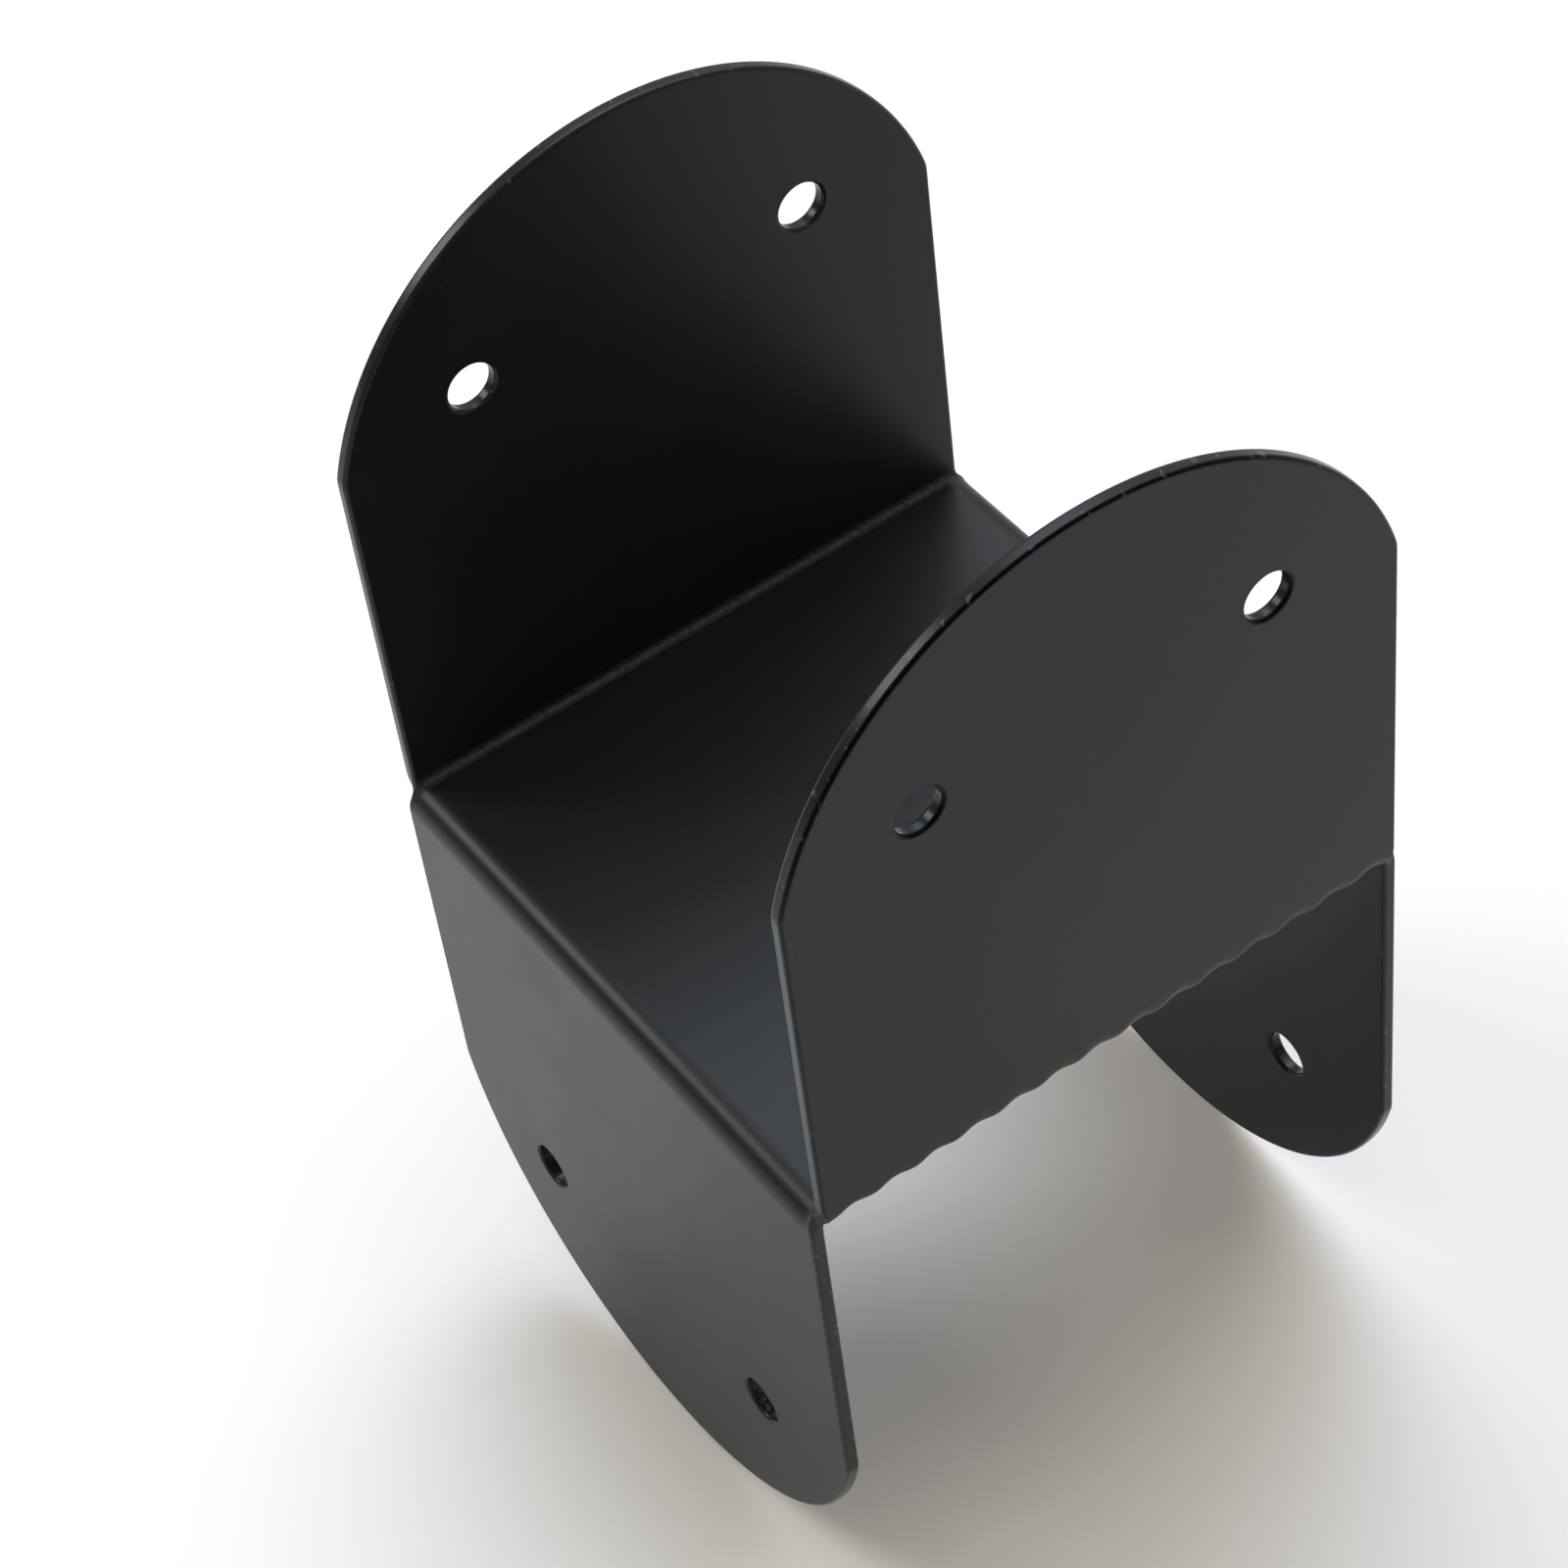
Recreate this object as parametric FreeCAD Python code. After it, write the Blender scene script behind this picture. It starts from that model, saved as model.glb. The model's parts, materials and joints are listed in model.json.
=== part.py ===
import FreeCAD, Part
import math
import os

# Post-to-beam bracket, folded from one cross-shaped blank of sheet steel.
#
# The square middle of the cross is the plate. Two opposite arms fold up and clasp a beam that
# lies along Y. The other two fold down and clasp the top of a post. All four arms are alike:
# straight sides, then one wide arc, with two screw holes a little above where the arc starts.
#
# Frame: +Z up, origin at the centre of the plate's underside, which rests on the post.
# The upper tabs stand at x = +-BEAM_GAP / 2 and the lower tabs at y = +-POST_GAP / 2.

# Driving dimensions, in millimetres
SHEET = 2.1            # thickness of the sheet with its powder coat
BEND_INSIDE = 0.9      # inside radius of the four bends
BEAM_GAP = 90.5        # clear width between the upper tabs
POST_GAP = 89.3        # clear width between the lower tabs
CORNER_STEP = 0.75     # a tab's side stands this far outside the inner faces of the other pair
TAB_REACH = 90.4       # from the plate's face to the tip of a tab
TIP_RADIUS = 47.1      # radius of the arc that ends each tab
HOLE_DIAMETER = 6.8    # clearance for a 6 mm or 1/4 inch structural screw
HOLE_SPACING = 50.8    # between the two hole centres of a tab
HOLE_HEIGHT = 60.3     # from the plate's face to the hole centres
SOFT_EDGE = 0.3        # rounding that punching and coating leave on every cut edge

TIP_HEIGHT = SHEET + TAB_REACH
TINY = 0.01

X_AXIS = FreeCAD.Vector(1, 0, 0)
Y_AXIS = FreeCAD.Vector(0, 1, 0)
Z_AXIS = FreeCAD.Vector(0, 0, 1)
MIDDLE_OF_SHEET = FreeCAD.Vector(0, 0, SHEET / 2)


def line(start, end):
    return Part.LineSegment(start, end).toShape()


def arc(start, middle, end):
    return Part.Arc(start, middle, end).toShape()


def bent_strip(gap, half_width):
    """A quarter bend and the straight leg above it, as wide as the tab all the way up."""
    bend_start = gap / 2 - BEND_INSIDE
    bend_centre = SHEET + BEND_INSIDE
    inner_face = gap / 2
    outer_face = inner_face + SHEET

    def point(x, z):
        return FreeCAD.Vector(x, -half_width, z)

    def halfway_round(radius):
        reach = radius * math.sqrt(0.5)
        return point(bend_start + reach, bend_centre - reach)

    plate_top = point(bend_start, SHEET)
    inner_foot = point(inner_face, bend_centre)
    inner_head = point(inner_face, TIP_HEIGHT)
    outer_head = point(outer_face, TIP_HEIGHT)
    outer_foot = point(outer_face, bend_centre)
    plate_bottom = point(bend_start, 0)
    section = Part.Wire([
        arc(plate_top, halfway_round(BEND_INSIDE), inner_foot),
        line(inner_foot, inner_head),
        line(inner_head, outer_head),
        line(outer_head, outer_foot),
        arc(outer_foot, halfway_round(BEND_INSIDE + SHEET), plate_bottom),
        line(plate_bottom, plate_top),
    ])
    return Part.Face(section).extrude(Y_AXIS * (2 * half_width))


def tab_outline(half_width, depth):
    """The tab seen square on: straight sides that meet the wide arc at slight shoulders."""
    rise_of_arc = math.sqrt(TIP_RADIUS ** 2 - half_width ** 2)
    shoulder = TIP_HEIGHT - TIP_RADIUS + rise_of_arc
    left_foot = FreeCAD.Vector(0, -half_width, 0)
    left_shoulder = FreeCAD.Vector(0, -half_width, shoulder)
    tip = FreeCAD.Vector(0, 0, TIP_HEIGHT)
    right_shoulder = FreeCAD.Vector(0, half_width, shoulder)
    right_foot = FreeCAD.Vector(0, half_width, 0)
    outline = Part.Wire([
        line(left_foot, left_shoulder),
        arc(left_shoulder, tip, right_shoulder),
        line(right_shoulder, right_foot),
        line(right_foot, left_foot),
    ])
    return Part.Face(outline).extrude(X_AXIS * depth)


def outline_edges(arm, gap):
    """The edges of the tab's two flat faces, hole rims included, but not its bend lines."""
    found = []
    for edge in arm.Edges:
        box = edge.BoundBox
        in_a_face = box.XLength < TINY and box.XMin > gap / 2 - TINY
        bend_line = box.ZLength < TINY
        if in_a_face and not bend_line:
            found.append(edge)
    return found


def tab(gap, half_width):
    """One arm of the cross, folded up on the +X side."""
    arm = bent_strip(gap, half_width).common(tab_outline(half_width, gap))
    for side in (-1, 1):
        centre = FreeCAD.Vector(0, side * HOLE_SPACING / 2, SHEET + HOLE_HEIGHT)
        hole = Part.makeCylinder(HOLE_DIAMETER / 2, gap, centre, X_AXIS)
        arm = arm.cut(hole)
    return arm.makeFillet(SOFT_EDGE, outline_edges(arm, gap))


def turned(shape, axis, degrees):
    """A copy, turned about an axis through the middle of the plate's thickness."""
    copy = shape.copy()
    copy.rotate(MIDDLE_OF_SHEET, axis, degrees)
    return copy


def folded_bracket():
    length = BEAM_GAP - 2 * BEND_INSIDE
    width = POST_GAP - 2 * BEND_INSIDE
    corner = FreeCAD.Vector(-length / 2, -width / 2, 0)
    plate = Part.makeBox(length, width, SHEET, corner)

    upper_tab = tab(BEAM_GAP, POST_GAP / 2 + CORNER_STEP)
    lower_tab = turned(tab(POST_GAP, BEAM_GAP / 2 + CORNER_STEP), X_AXIS, 180)
    arms = [
        turned(upper_tab, Z_AXIS, 0),
        turned(upper_tab, Z_AXIS, 180),
        turned(lower_tab, Z_AXIS, 90),
        turned(lower_tab, Z_AXIS, 270),
    ]
    return plate.multiFuse(arms).removeSplitter()


os.makedirs("parts", exist_ok=True)
folded_bracket().exportStep("parts/folded_bracket.step")
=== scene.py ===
"""Looks of the folded post-to-beam bracket.

The bracket is made here as it is made in a workshop: a cross-shaped blank is cut from sheet,
its cut edges are rounded, and its four arms are folded. Lengths are in metres, in the frame
of the CAD model: +Z up, the origin at the centre of the plate's underside.
"""

import json
import math

import bmesh
import bpy
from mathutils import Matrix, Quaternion, Vector


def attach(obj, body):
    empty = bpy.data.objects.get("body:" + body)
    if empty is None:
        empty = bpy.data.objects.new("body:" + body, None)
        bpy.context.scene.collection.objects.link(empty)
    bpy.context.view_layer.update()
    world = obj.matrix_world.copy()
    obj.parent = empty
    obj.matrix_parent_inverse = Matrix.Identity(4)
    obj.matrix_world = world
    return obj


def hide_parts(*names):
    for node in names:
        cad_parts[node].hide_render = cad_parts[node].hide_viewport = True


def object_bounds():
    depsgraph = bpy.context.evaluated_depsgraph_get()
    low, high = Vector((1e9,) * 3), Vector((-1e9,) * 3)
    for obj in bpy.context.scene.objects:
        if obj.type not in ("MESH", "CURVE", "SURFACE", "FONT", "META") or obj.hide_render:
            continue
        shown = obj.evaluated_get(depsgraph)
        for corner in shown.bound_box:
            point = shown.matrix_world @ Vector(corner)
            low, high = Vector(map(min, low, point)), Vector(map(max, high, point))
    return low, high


MM = 0.001
NODE = "folded_bracket"
RIM = "rim"
# Where the material paints a highlight in the hollow of a bend, and makes it rougher and lumpy
CREASE = "crease"
# Where the material paints shade along the outer corner of an upper tab's cut edge
PAINTED_SHADE_EDGE = "painted_shade_edge"

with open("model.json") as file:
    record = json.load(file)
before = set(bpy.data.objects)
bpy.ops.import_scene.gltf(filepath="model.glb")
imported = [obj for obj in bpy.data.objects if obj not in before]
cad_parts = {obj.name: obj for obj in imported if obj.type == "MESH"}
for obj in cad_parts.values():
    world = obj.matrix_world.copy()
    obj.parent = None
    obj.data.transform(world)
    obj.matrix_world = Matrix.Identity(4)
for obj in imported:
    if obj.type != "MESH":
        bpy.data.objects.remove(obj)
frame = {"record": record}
cad_low, cad_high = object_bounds()

# Sizes read from the frame
SHEET = cad_high.z + cad_low.z
BEAM_HALF_GAP = cad_high.x - SHEET
POST_HALF_GAP = cad_high.y - SHEET
TIP_HEIGHT = cad_high.z - SHEET / 2
MOUNTS = {mount["name"]: mount for mount in frame["record"]["mounts"]}
SCREWS = MOUNTS["beam_screws_plus_x"]
HOLE_RADIUS = SCREWS["dims"]["hole_r_mm"] * MM
HOLE_SPACING = SCREWS["dims"]["spacing_x_mm"] * MM
HOLE_HEIGHT = SCREWS["pos_m"][2] - SHEET / 2

# Sizes that the frame doesn't state. The cut edges look rounder than the CAD model's.
UP_REACH = 2.5 * MM
UP_SHARPNESS = 0.7
DOWN_REACH = 3.1 * MM
DOWN_SHARPNESS = 0.5
CORNER_STEP = 0.75 * MM
TIP_RADIUS = 47.1 * MM
SHOULDER_RADIUS = 6 * MM
NOTCH_RADIUS = 0.65 * MM
SOFT_EDGE = 0.6 * MM

# The folding tool leaves waves on the outside of the two upward bends. The higher the fade,
# the narrower the band of waves.
WAVE_PITCH = 6.32 * MM
WAVE_PLACE = 0.4 * MM
WAVE_DEPTH = 0.42 * MM
WAVE_CREST = 0.38 * MM
WAVE_FADE = 4

# How finely curves are divided
TIP_STEPS = 120
SHOULDER_STEPS = 6
HOLE_STEPS = 72
NOTCH_STEPS = 8
BEND_STEPS = 20
WAVE_STEPS = 12
EDGE_STEPS = 6
BEND_SAMPLES = 1000
NUDGE = 0.05 * MM
CUT_SNAP = 0.002 * MM


class Bend:
    """A right-angled fold of the sheet's middle surface.

    It reaches inwards from the folded arm's middle. The sharper it is, the more of its turn
    lies in the middle of its length.
    """

    def __init__(self, half_gap, reach, sharpness):
        places = [(0.0, 0.0)]
        for step in range(BEND_SAMPLES):
            part = (step + 0.5) / BEND_SAMPLES
            ease = sharpness * math.sin(2 * math.pi * part) / (2 * math.pi)
            turn = (part - ease) * math.pi / 2
            out, up = places[-1]
            places.append((out + math.cos(turn), up + math.sin(turn)))
        scale = reach / places[-1][0]
        self.places = [(out * scale, up * scale) for out, up in places]
        self.reach = reach
        self.start = half_gap + SHEET / 2 - reach
        self.length = scale * BEND_SAMPLES

    def share(self, distance):
        """How much of the fold lies before a distance from the blank's centre, from 0 to 1."""
        return min(max((abs(distance) - self.start) / self.length, 0), 1)

    def rolled(self, distance):
        """Where a strip's point goes when it is folded: how far out, and how far up."""
        beyond = abs(distance) - self.start
        if beyond <= 0:
            return abs(distance), 0
        place = self.share(distance) * BEND_SAMPLES
        whole = min(int(place), BEND_SAMPLES - 1)
        part = place - whole
        out_before, up_before = self.places[whole]
        out_after, up_after = self.places[whole + 1]
        out = out_before + (out_after - out_before) * part
        up = up_before + (up_after - up_before) * part
        return self.start + out, up + max(beyond - self.length, 0)

    def along(self, height):
        """How far out on the blank a height above the folded plate's middle lies."""
        return self.start + self.length + height - self.reach


UP_BEND = Bend(BEAM_HALF_GAP, UP_REACH, UP_SHARPNESS)
DOWN_BEND = Bend(POST_HALF_GAP, DOWN_REACH, DOWN_SHARPNESS)


# The flat blank ---------------------------------------------------------------------------

class Arm:
    """One arm of the flat cross, pointing out at an angle."""

    def __init__(self, angle, bend, half_gap, half_width):
        self.heading = angle
        self.out = Vector((round(math.cos(angle)), round(math.sin(angle))))
        self.side = Vector((-self.out.y, self.out.x))
        self.bend = bend
        self.root = half_gap + CORNER_STEP
        self.half_width = half_width
        self.tip = bend.along(TIP_HEIGHT)
        self.holes = bend.along(HOLE_HEIGHT)

    def place(self, along, across):
        """A point of the blank, from distances along the arm and to its left."""
        return self.out * along + self.side * across


def arms():
    """The four arms, anticlockwise from +X."""
    up_width = POST_HALF_GAP + CORNER_STEP
    down_width = BEAM_HALF_GAP + CORNER_STEP
    made = []
    for half_turn in (0, math.pi):
        made.append(Arm(half_turn, UP_BEND, BEAM_HALF_GAP, up_width))
        made.append(Arm(half_turn + math.pi / 2, DOWN_BEND, POST_HALF_GAP, down_width))
    return made


def arc(centre, radius, start, end, steps):
    """Points on a circle from one angle to another, both included."""
    points = []
    for step in range(steps + 1):
        angle = start + (end - start) * step / steps
        points.append(centre + Vector((math.cos(angle), math.sin(angle))) * radius)
    return points


def cross_outline(inset):
    """The blank's outline, anticlockwise, drawn inwards by inset."""
    points = []
    for arm in arms():
        ahead = arm.heading
        across = arm.half_width - SHOULDER_RADIUS
        reach = math.asin(across / (TIP_RADIUS - SHOULDER_RADIUS))
        along = arm.tip - TIP_RADIUS + (TIP_RADIUS - SHOULDER_RADIUS) * math.cos(reach)
        radius = SHOULDER_RADIUS - inset
        square = math.pi / 2
        shoulder = arm.place(along, -across)
        points += arc(shoulder, radius, ahead - square, ahead - reach, SHOULDER_STEPS)[:-1]
        centre = arm.place(arm.tip - TIP_RADIUS, 0)
        points += arc(centre, TIP_RADIUS - inset, ahead - reach, ahead + reach, TIP_STEPS)
        shoulder = arm.place(along, across)
        points += arc(shoulder, radius, ahead + reach, ahead + square, SHOULDER_STEPS)[1:]
        notch = arm.place(arm.root + NOTCH_RADIUS, arm.half_width + NOTCH_RADIUS)
        radius = NOTCH_RADIUS + inset
        points += arc(notch, radius, ahead - square, ahead - 2 * square, NOTCH_STEPS)
    return points


def hole_outlines(inset):
    """The eight screw holes, clockwise, each drawn wider by inset."""
    outlines = []
    for arm in arms():
        for side in (-1, 1):
            centre = arm.place(arm.holes, side * HOLE_SPACING / 2)
            outlines.append(arc(centre, HOLE_RADIUS + inset, 0, -2 * math.pi, HOLE_STEPS)[:-1])
    return outlines


def cut_across(flat, faces, out, distance):
    """Divides faces along the line at right angles to out, at a distance from the centre.

    A corner that lies almost on the line is taken as being on it.
    """
    edges = {edge for face in faces for edge in face.edges}
    verts = {vert for face in faces for vert in face.verts}
    out = out.to_3d()
    bmesh.ops.bisect_plane(
        flat,
        geom=[*faces, *edges, *verts],
        dist=CUT_SNAP,
        plane_co=out * distance,
        plane_no=out,
    )


def in_upward_bend(face):
    """Whether the middle of a face lies in one of the two upward bends."""
    return 0 < UP_BEND.share(face.calc_center_median().x) < 1


def flat_blank(inset):
    """The blank as one layer of faces, divided at the bends."""
    flat = bmesh.new()
    for outline in [cross_outline(inset)] + hole_outlines(inset):
        corners = [flat.verts.new(point.to_3d()) for point in outline]
        for one, other in zip(corners, corners[1:] + corners[:1]):
            flat.edges.new((one, other))
    bmesh.ops.triangle_fill(flat, use_beauty=True, edges=flat.edges[:], normal=(0, 0, 1))
    for arm in arms():
        for step in range(BEND_STEPS + 1):
            distance = arm.bend.start + arm.bend.length * step / BEND_STEPS
            cut_across(flat, flat.faces[:], arm.out, distance)
    crossings = math.ceil(POST_HALF_GAP / WAVE_PITCH * WAVE_STEPS)
    for step in range(-crossings, crossings + 1):
        bend_faces = [face for face in flat.faces if in_upward_bend(face)]
        distance = WAVE_PLACE + step * WAVE_PITCH / WAVE_STEPS
        cut_across(flat, bend_faces, Vector((0, 1)), distance)
    bmesh.ops.recalc_face_normals(flat, faces=flat.faces[:])
    if sum(face.normal.z for face in flat.faces) < 0:
        bmesh.ops.reverse_faces(flat, faces=flat.faces[:])
    flat.verts.index_update()
    return flat


def edge_loops(flat):
    """The open edges of the blank as closed rings of vertices, with the sheet on their left."""
    following = {}
    for face in flat.faces:
        for loop in face.loops:
            if loop.edge.is_boundary:
                following[loop.vert] = loop.link_loop_next.vert
    rings = []
    while following:
        start = next(iter(following))
        ring = []
        vert = start
        while vert in following:
            ring.append(vert)
            vert = following.pop(vert)
        rings.append(ring)
    return rings


def outward(ring):
    """For each vertex of a ring, the way off the sheet, longer where the outline turns."""
    ways = []
    for before, here, after in zip(ring[-1:] + ring[:-1], ring, ring[1:] + ring[:1]):
        arriving = (here.co - before.co).xy.normalized()
        leaving = (after.co - here.co).xy.normalized()
        off = Vector((arriving.y + leaving.y, -arriving.x - leaving.x)).normalized()
        ways.append(off / off.dot(Vector((leaving.y, -leaving.x))))
    return ways


# Folding ----------------------------------------------------------------------------------

def eased(share):
    """A share from 0 to 1 that starts and ends gently."""
    return share * share * (3 - 2 * share)


def middle_surface(x, y):
    """Where a point of the blank's middle surface goes when all four arms are folded.

    At a corner of the plate an upward bend and a downward one meet, and the point goes
    between the places that the two would give it.
    """
    up = UP_BEND.share(x)
    down = DOWN_BEND.share(y)
    out_x, rise = UP_BEND.rolled(x)
    out_y, drop = DOWN_BEND.rolled(y)
    pull_up = up * (1 - down)
    pull_down = down * (1 - up)
    upward = pull_up / (pull_up + pull_down) if pull_up + pull_down > 0 else 0.5
    upward = eased(upward)
    downward = 1 - upward
    folded_x = math.copysign(upward * out_x + downward * abs(x), x)
    folded_y = math.copysign(downward * out_y + upward * abs(y), y)
    return Vector((folded_x, folded_y, SHEET / 2 + upward * rise - downward * drop))


def wave(x, y):
    """How far the folding tool's waves press in a point of the blank's lower face.

    Below 0 they stand out. They fade across the bend, and towards the corners.
    """
    across = math.sin(UP_BEND.share(x) * math.pi) ** WAVE_FADE * (1 - DOWN_BEND.share(y))
    trough = (1 - math.cos(2 * math.pi * (y - WAVE_PLACE) / WAVE_PITCH)) / 2
    return across * (WAVE_DEPTH * trough - WAVE_CREST)


def in_crease(x, y, height):
    """From 0 to 1, how much a point lies in the hollow inside of a bend."""
    upward = math.sin(UP_BEND.share(x) * math.pi) * (1 - DOWN_BEND.share(y))
    downward = math.sin(DOWN_BEND.share(y) * math.pi) * (1 - UP_BEND.share(x))
    return max(upward if height > 0 else downward, 0)


def in_painted_shade_edge(y, flat_normal):
    """From 0 to 1, how much a point lies on the outer corner of an upper tab's cut edge.

    On the blank that corner is the lower one, and the share is 1 halfway round it. The share
    sets how much shade is painted there.
    """
    corner = max(-2 * flat_normal.z * flat_normal.xy.length, 0)
    return corner * (1 - DOWN_BEND.share(y))


def inside_box(point):
    """The point, or the nearest one that isn't outside the CAD model's box."""
    return Vector(min(max(low, p), high) for low, p, high in zip(cad_low, point, cad_high))


def folded(x, y, height):
    """Where a point at a height above the blank's middle surface goes when it is folded."""
    here = middle_surface(x, y)
    along_x = middle_surface(x + NUDGE, y) - middle_surface(x - NUDGE, y)
    along_y = middle_surface(x, y + NUDGE) - middle_surface(x, y - NUDGE)
    height += wave(x, y) * max(-height / (SHEET / 2), 0)
    return inside_box(here + along_x.cross(along_y).normalized() * height)


def folded_normal(x, y, height, flat_normal):
    """The direction that a normal of the blank has once the blank is folded."""
    along_x = folded(x + NUDGE, y, height) - folded(x - NUDGE, y, height)
    along_y = folded(x, y + NUDGE, height) - folded(x, y - NUDGE, height)
    along_z = folded(x, y, height + NUDGE) - folded(x, y, height - NUDGE)
    normal = along_y.cross(along_z) * flat_normal.x
    normal += along_z.cross(along_x) * flat_normal.y
    normal += along_x.cross(along_y) * flat_normal.z
    return normal.normalized()


# The thick sheet --------------------------------------------------------------------------

def edge_profile():
    """The rounded cut edge from the top face to the bottom one: outset, height, tilt."""
    upper = []
    for step in range(EDGE_STEPS + 1):
        tilt = math.pi / 2 * step / EDGE_STEPS
        height = SHEET / 2 - SOFT_EDGE * (1 - math.cos(tilt))
        upper.append((SOFT_EDGE * math.sin(tilt), height, tilt))
    lower = [(outset, -height, math.pi - tilt) for outset, height, tilt in reversed(upper)]
    return upper + lower


def ring_faces(upper, lower):
    """Four-sided faces between two rings of vertex numbers, seen from off the sheet."""
    quads = []
    for a, b, c, d in zip(upper, upper[1:] + upper[:1], lower[1:] + lower[:1], lower):
        quads.append([a, d, c, b])
    return quads


def thick_blank():
    """The blank with its thickness: places as x, y, height and normal, and its faces."""
    flat = flat_blank(SOFT_EDGE)
    count = len(flat.verts)
    places = []
    for side in (1, -1):
        for vert in flat.verts:
            places.append((vert.co.x, vert.co.y, side * SHEET / 2, Vector((0, 0, side))))
    faces = [[vert.index for vert in face.verts] for face in flat.faces]
    faces += [[count + index for index in reversed(face)] for face in faces]
    for ring in edge_loops(flat):
        ways = outward(ring)
        previous = [vert.index for vert in ring]
        for outset, height, tilt in edge_profile()[1:-1]:
            current = []
            for vert, way in zip(ring, ways):
                current.append(len(places))
                spot = vert.co.xy + way * outset
                normal = (way.normalized() * math.sin(tilt)).to_3d()
                normal.z = math.cos(tilt)
                places.append((spot.x, spot.y, height, normal))
            faces += ring_faces(previous, current)
            previous = current
        faces += ring_faces(previous, [count + vert.index for vert in ring])
    flat.free()
    return places, faces


def mark(mesh, name, values):
    """Gives each vertex a value that the material reads by name."""
    mesh.attributes.new(name, "FLOAT", "POINT").data.foreach_set("value", values)


def build_bracket():
    """The bracket: the thick blank, folded."""
    places, faces = thick_blank()
    mesh = bpy.data.meshes.new("powder_coated_sheet")
    mesh.from_pydata([folded(x, y, height) for x, y, height, normal in places], [], faces)
    mesh.shade_smooth()
    mark(mesh, RIM, [normal.xy.length for x, y, height, normal in places])
    # Painted highlight: where the hollow of a bend is made paler, rougher and lumpy
    mark(mesh, CREASE, [in_crease(x, y, height) for x, y, height, normal in places])
    # Painted shade: where the outer corner of an upper tab's cut edge is darkened
    mark(mesh, PAINTED_SHADE_EDGE, [in_painted_shade_edge(y, normal) for x, y, height, normal in places])
    mesh.normals_split_custom_set_from_vertices([folded_normal(*place) for place in places])
    bracket = bpy.data.objects.new("powder_coated_sheet", mesh)
    bpy.context.scene.collection.objects.link(bracket)
    return bracket


# Material ---------------------------------------------------------------------------------

# The Mix node has sockets for each kind of data, and these are the ones for colours
MIX_COLOURS = (6, 7)
MIX_RESULT = 2


class Nodes:
    """Short ways to add and join the nodes of one node tree."""

    def __init__(self, tree):
        self.tree = tree
        tree.nodes.clear()

    def feed(self, socket, value):
        """Links a socket to the output of another node, or sets its value."""
        if isinstance(value, bpy.types.NodeSocket):
            self.tree.links.new(value, socket)
        else:
            socket.default_value = value

    def add(self, kind, settings=(), **inputs):
        """A new node. In the name of an input, an underscore stands for a space."""
        node = self.tree.nodes.new(kind)
        for name, value in dict(settings).items():
            setattr(node, name, value)
        for name, value in inputs.items():
            self.feed(node.inputs[name.replace("_", " ")], value)
        return node

    def join(self, kind, operation, one, other):
        """A node that works on two values, which are its first two inputs."""
        node = self.add(kind, {"operation": operation})
        self.feed(node.inputs[0], one)
        self.feed(node.inputs[1], other)
        return node

    def attribute(self, name):
        """The value that the mesh holds at each vertex under a name."""
        return self.add("ShaderNodeAttribute", {"attribute_name": name}).outputs["Fac"]

    def noise(self, place, scale, detail):
        """Cloudy noise, about 0.5 on average. The scale is in lumps per metre."""
        node = self.add("ShaderNodeTexNoise", Vector=place, Scale=scale, Detail=detail)
        return node.outputs["Fac"]

    def spread(self, value, low, high, start=0.0, end=1.0):
        """A value between start and end brought to between low and high."""
        part = self.add(
            "ShaderNodeMapRange", Value=value, From_Min=start, From_Max=end, To_Min=low, To_Max=high
        )
        return part.outputs["Result"]

    def blend(self, share, one, other):
        """A colour between one and other."""
        mix = self.add("ShaderNodeMix", {"data_type": "RGBA"}, Factor=share)
        for socket, colour in zip(MIX_COLOURS, (one, other)):
            self.feed(mix.inputs[socket], colour)
        return mix.outputs[MIX_RESULT]

    def bump(self, height, distance, **inputs):
        """A normal tilted as if the surface rose by a distance where height is 1."""
        node = self.add("ShaderNodeBump", Height=height, Distance=distance, **inputs)
        return node.outputs["Normal"]


# Colours of the coat: its unevenness, painted shade along the outer corner of an upper tab's
# cut edge, a painted highlight in the hollow of a bend, and worn spots and dust. Gleam is the
# share of straight-on reflection, dimmed along that outer corner to deepen the painted shade.
COAT_DARK = (0.0090, 0.0090, 0.0093, 1)
COAT_LIGHT = (0.0115, 0.0115, 0.0117, 1)
# Painted shade along the outer corner of an upper tab's cut edge
PAINTED_SHADE_COLOUR = (0.0015, 0.0015, 0.0015, 1)
# Painted highlight in the hollow of a bend
CREASE_PAINTED_HIGHLIGHT = (0.05, 0.05, 0.05, 1)
MARK_COLOUR = (0.06, 0.06, 0.06, 1)
FULL_GLEAM = (1.0, 1.0, 1.0, 1)
# Dimmed reflection for that painted shade
PAINTED_SHADE_GLEAM = (0.05, 0.05, 0.05, 1)

# How rough the coat is: its unevenness, a cut edge, and the hollow of a bend
SATIN_ROUGHNESS = (0.32, 0.40)
RIM_ROUGHNESS = 0.25
CREASE_ROUGHNESS = 0.6
COAT_SPECULAR = 0.22
COAT_IOR = 1.5

# The size of the coat's texture, in lumps per metre, and how high it stands
PATCH_SCALE = 60
PEEL_SCALE = 700
PEEL_HEIGHT = 0.004 * MM
GRAIN_SCALE = 5000
GRAIN_HEIGHT = 0.001 * MM
LUMP_SCALE = 1500
LUMP_HEIGHT = 0.6 * MM

# How much of the crease's look (a painted highlight, a rougher coat and lumps) shows in the
# hollow of a bend: the least, and fully where the lumps' noise is past its range. A cut edge
# is worn where the chips' noise is past its range. A speck of dust fades out over its range,
# in shares of the specks' spacing.
CREASE_LEAST = 0.5
LUMP_RANGE = (0.35, 0.65)
CHIP_SCALE = 650
CHIP_RANGE = (0.66, 0.7)
DUST_SCALE = 75
DUST_RANGE = (0.008, 0.014)


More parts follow.
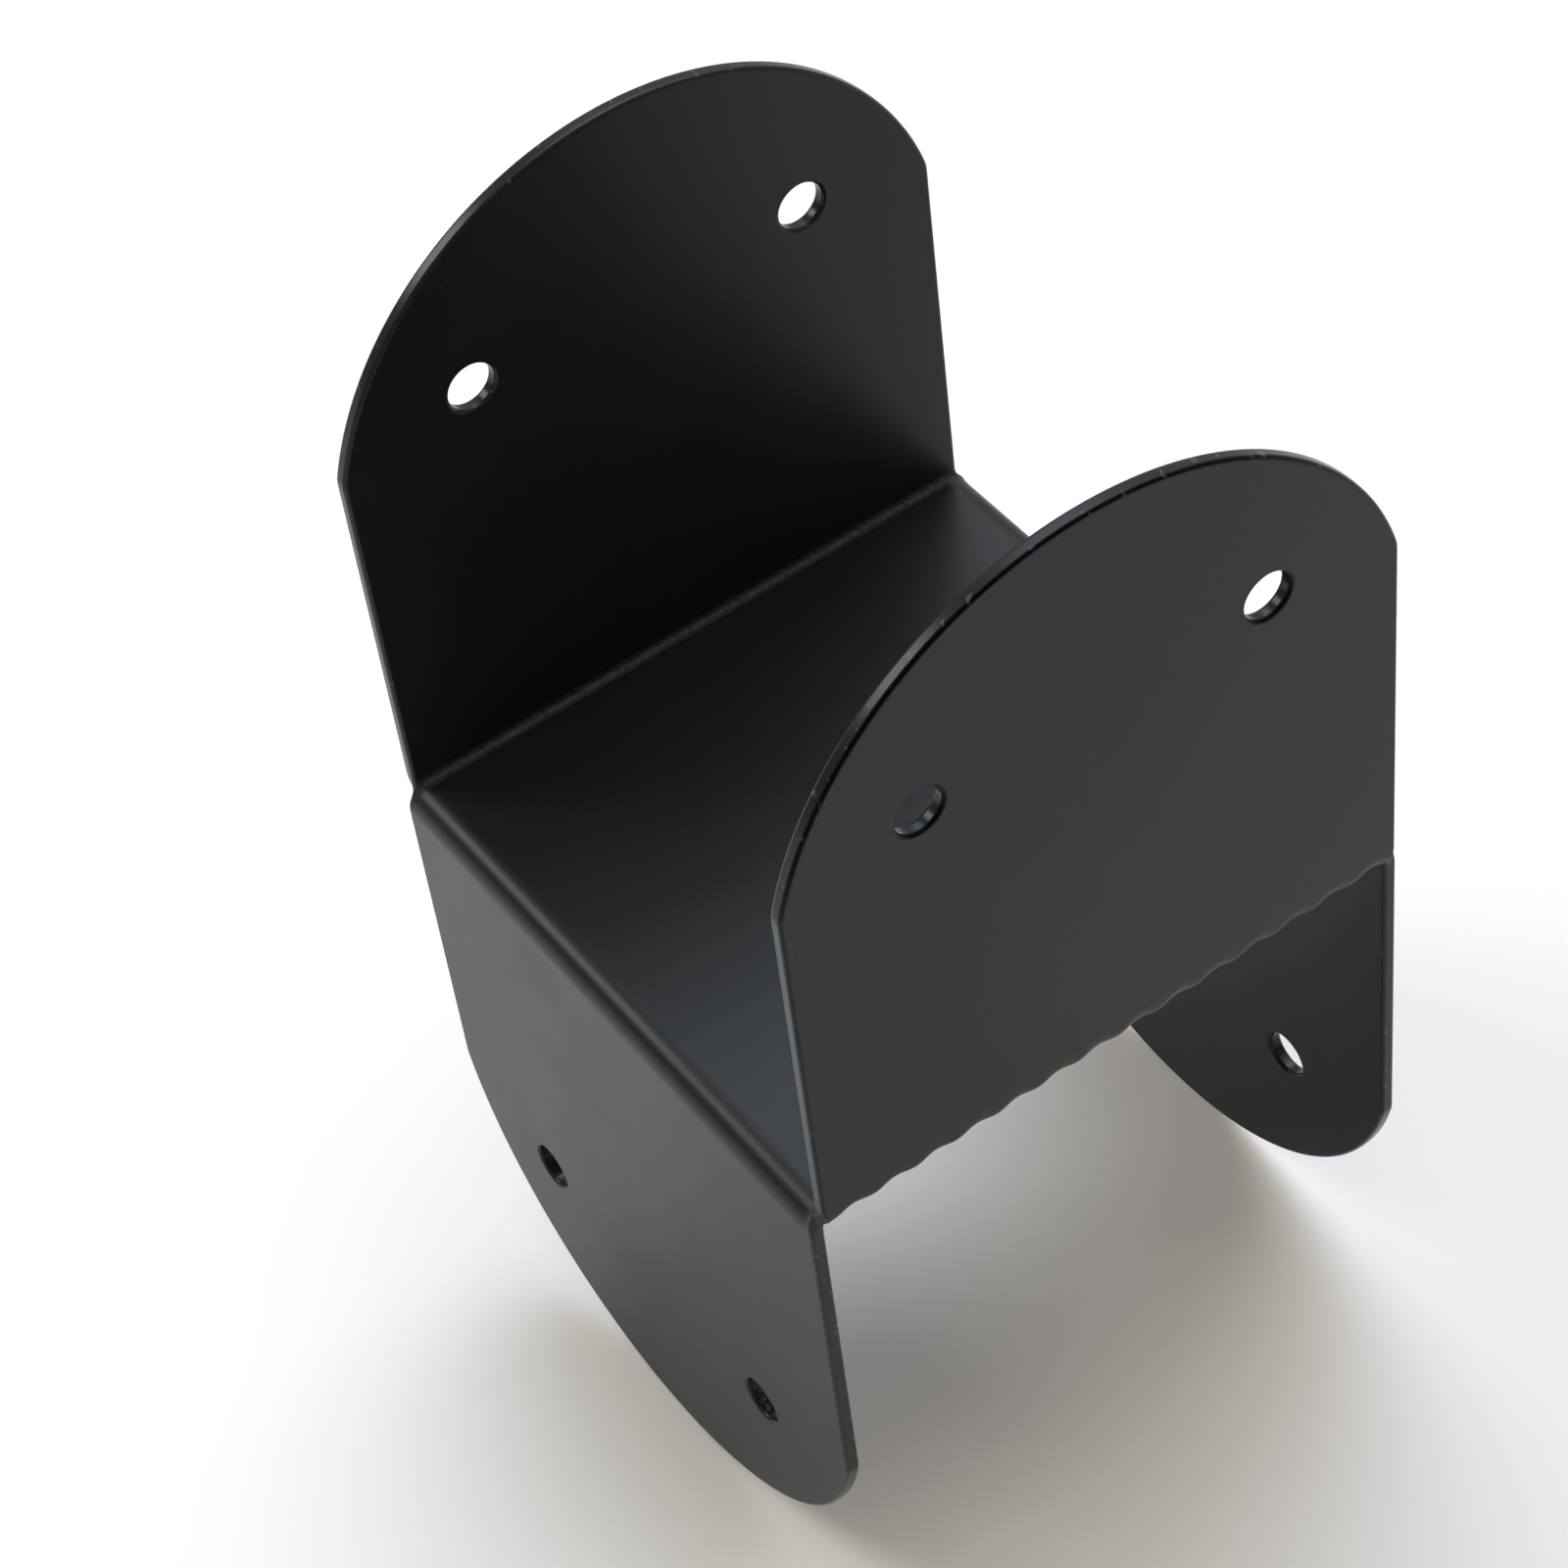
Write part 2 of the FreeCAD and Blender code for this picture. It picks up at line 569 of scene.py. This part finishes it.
def worn_or_dusty(nodes, place, rim):
    """From 0 to 1, how much of a mark is at a place: a worn spot on a cut edge, or dust."""
    chips = nodes.noise(place, CHIP_SCALE, detail=2)
    chipped = nodes.spread(chips, 0, rim, *CHIP_RANGE)
    dust = nodes.add("ShaderNodeTexVoronoi", Vector=place, Scale=DUST_SCALE)
    dusty = nodes.spread(dust.outputs["Distance"], 1, 0, *DUST_RANGE)
    return nodes.join("ShaderNodeMath", "MAXIMUM", chipped, dusty).outputs["Value"]


def uneven_normal(nodes, place, lumps, crease):
    """The normal of the coat: orange peel, fine grain on it, and lumps in a crease."""
    peel = nodes.noise(place, PEEL_SCALE, detail=2)
    grain = nodes.noise(place, GRAIN_SCALE, detail=1)
    normal = nodes.bump(peel, PEEL_HEIGHT, Strength=1.0)
    normal = nodes.bump(grain, GRAIN_HEIGHT, Strength=1.0, Normal=normal)
    return nodes.bump(lumps, LUMP_HEIGHT, Strength=crease, Normal=normal)


def powder_coat():
    """Satin black powder coat: fine orange peel, and a slightly uneven gloss and tone.

    It is rougher in the hollow of a bend, and paler there as a painted highlight. Shade is
    painted along the outer corner of an upper tab's cut edge by a darker colour and dimmed
    reflection. Cut edges have worn spots, and a few specks of dust lie on it.
    """
    material = bpy.data.materials.new("satin_black_powder_coat")
    material.use_nodes = True
    nodes = Nodes(material.node_tree)
    place = nodes.add("ShaderNodeTexCoord").outputs["Object"]
    rim = nodes.attribute(RIM)
    hollow = nodes.attribute(CREASE)
    painted_shade_edge = nodes.attribute(PAINTED_SHADE_EDGE)
    patches = nodes.noise(place, PATCH_SCALE, detail=3)
    lumps = nodes.noise(place, LUMP_SCALE, detail=2)
    crease = nodes.spread(hollow, 0, nodes.spread(lumps, CREASE_LEAST, 1, *LUMP_RANGE))

    coat = nodes.blend(patches, COAT_DARK, COAT_LIGHT)
    # Painted shade: a darker colour along the outer corner of an upper tab's cut edge
    coat = nodes.blend(painted_shade_edge, coat, PAINTED_SHADE_COLOUR)
    # Painted highlight: the hollow of a bend is made paler
    coat = nodes.blend(crease, coat, CREASE_PAINTED_HIGHLIGHT)
    coat = nodes.blend(worn_or_dusty(nodes, place, rim), coat, MARK_COLOUR)
    roughness = nodes.spread(patches, *SATIN_ROUGHNESS)
    roughness = nodes.spread(rim, roughness, RIM_ROUGHNESS)
    roughness = nodes.spread(crease, roughness, CREASE_ROUGHNESS)
    shader = nodes.add(
        "ShaderNodeBsdfPrincipled",
        Base_Color=coat,
        Roughness=roughness,
        IOR=COAT_IOR,
        Specular_IOR_Level=COAT_SPECULAR,
        # Painted shade: reflection is dimmed along that same outer corner
        Specular_Tint=nodes.blend(painted_shade_edge, FULL_GLEAM, PAINTED_SHADE_GLEAM),
        Normal=uneven_normal(nodes, place, lumps, crease),
    )
    nodes.add("ShaderNodeOutputMaterial", Surface=shader.outputs["BSDF"])
    return material


FLOOR_COLOUR = (0.86, 0.855, 0.85, 1)
FLOOR_ROUGHNESS = 0.9
FLOOR_SPECULAR = 0.1


def pale_floor_material():
    material = bpy.data.materials.new("pale_floor")
    material.use_nodes = True
    shader = material.node_tree.nodes["Principled BSDF"]
    shader.inputs["Base Color"].default_value = FLOOR_COLOUR
    shader.inputs["Roughness"].default_value = FLOOR_ROUGHNESS
    shader.inputs["Specular IOR Level"].default_value = FLOOR_SPECULAR
    return material


# Stage ------------------------------------------------------------------------------------

CAMERA_AIM = Vector((-11.309, -8.737, 4.986)) * MM
CAMERA_DISTANCE = 572.07 * MM
CAMERA_AZIMUTH = 60.294
CAMERA_ELEVATION = 47.768
CAMERA_ROLL = 8.209
CAMERA_LENS = 100.337
CAMERA_NEAR = 10 * MM
FLOOR_RADIUS = 6.0
FLOOR_SIDES = 96

# A lamp at the side: where it stands, its distance, width and power, and its colour
SIDE_LAMP = ("side", 309, 39.5, 1.2, 0.5, 5.2, (1.04, 1.0, 0.94))

# The room's own light, and its glows: where each is, how wide, how strong, and its colour
AMBIENT = (0.275, 0.25, 0.22)
GLOWS = [
    ("overhead", 190, 66, 45, 1.95, (1.04, 1.0, 0.95)),
    ("window", 232, 62, 22, 3.3, (0.70, 1.0, 1.32)),
    ("backdrop", 225, 0, 95, 0.5, (1.0, 1.0, 1.0)),
]


def direction(azimuth, elevation):
    """The way from the object to a viewer. At azimuth 0 the viewer looks along +Y."""
    turn = math.radians(azimuth)
    rise = math.radians(elevation)
    flat = math.cos(rise)
    return Vector((math.sin(turn) * flat, -math.cos(turn) * flat, math.sin(rise)))


def build_camera():
    """The camera, rolled about its view and looking at its aim."""
    data = bpy.data.cameras.new("camera")
    data.lens = CAMERA_LENS
    data.clip_start = CAMERA_NEAR
    camera = bpy.data.objects.new("camera", data)
    back = direction(CAMERA_AZIMUTH, CAMERA_ELEVATION)
    roll = Quaternion((0, 0, 1), math.radians(-CAMERA_ROLL))
    camera.rotation_mode = "QUATERNION"
    camera.rotation_quaternion = back.to_track_quat("Z", "Y") @ roll
    camera.location = CAMERA_AIM + back * CAMERA_DISTANCE
    bpy.context.scene.collection.objects.link(camera)
    bpy.context.scene.camera = camera


def build_floor():
    """A plain floor at the height of the bracket's lowest point."""
    bpy.ops.mesh.primitive_circle_add(
        vertices=FLOOR_SIDES, radius=FLOOR_RADIUS, fill_type="NGON"
    )
    floor = bpy.context.object
    floor.name = "floor"
    floor.location.z = cad_low.z
    floor.data.materials.append(pale_floor_material())


def softbox(name, azimuth, elevation, distance, size, power, colour):
    """A round lamp that shines at the origin."""
    data = bpy.data.lights.new(name, "AREA")
    data.shape = "DISK"
    data.size = size
    data.energy = power
    data.color = colour
    light = bpy.data.objects.new(name, data)
    back = direction(azimuth, elevation)
    light.location = back * distance
    light.rotation_mode = "QUATERNION"
    light.rotation_quaternion = back.to_track_quat("Z", "Y")
    bpy.context.scene.collection.objects.link(light)


def build_world():
    """A dim room with a few wide glows, each fading from its middle to its radius."""
    world = bpy.data.worlds.new("studio")
    world.use_nodes = True
    nodes = Nodes(world.node_tree)
    way = nodes.add("ShaderNodeTexCoord").outputs["Generated"]
    light = nodes.add("ShaderNodeCombineXYZ", X=AMBIENT[0], Y=AMBIENT[1], Z=AMBIENT[2])
    light = light.outputs["Vector"]
    for name, azimuth, elevation, radius, strength, colour in GLOWS:
        middle = direction(azimuth, elevation)
        facing = nodes.join("ShaderNodeVectorMath", "DOT_PRODUCT", way, middle)
        fade = nodes.add(
            "ShaderNodeMapRange",
            {"interpolation_type": "SMOOTHSTEP"},
            Value=facing.outputs["Value"],
            From_Min=math.cos(math.radians(radius)),
        )
        glow = nodes.add(
            "ShaderNodeVectorMath",
            {"operation": "SCALE", "label": name},
            Vector=Vector(colour) * strength,
            Scale=fade.outputs["Result"],
        )
        total = nodes.join("ShaderNodeVectorMath", "ADD", light, glow.outputs["Vector"])
        light = total.outputs["Vector"]
    background = nodes.add("ShaderNodeBackground", Color=light, Strength=1.0)
    nodes.add("ShaderNodeOutputWorld", Surface=background.outputs["Background"])
    bpy.context.scene.world = world


# Assembly ---------------------------------------------------------------------------------

bpy.context.scene.view_settings.view_transform = "Standard"
build_camera()
build_floor()
build_world()
softbox(*SIDE_LAMP)

bracket = build_bracket()
bracket.data.materials.append(powder_coat())
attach(bracket, "root")
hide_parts(NODE)
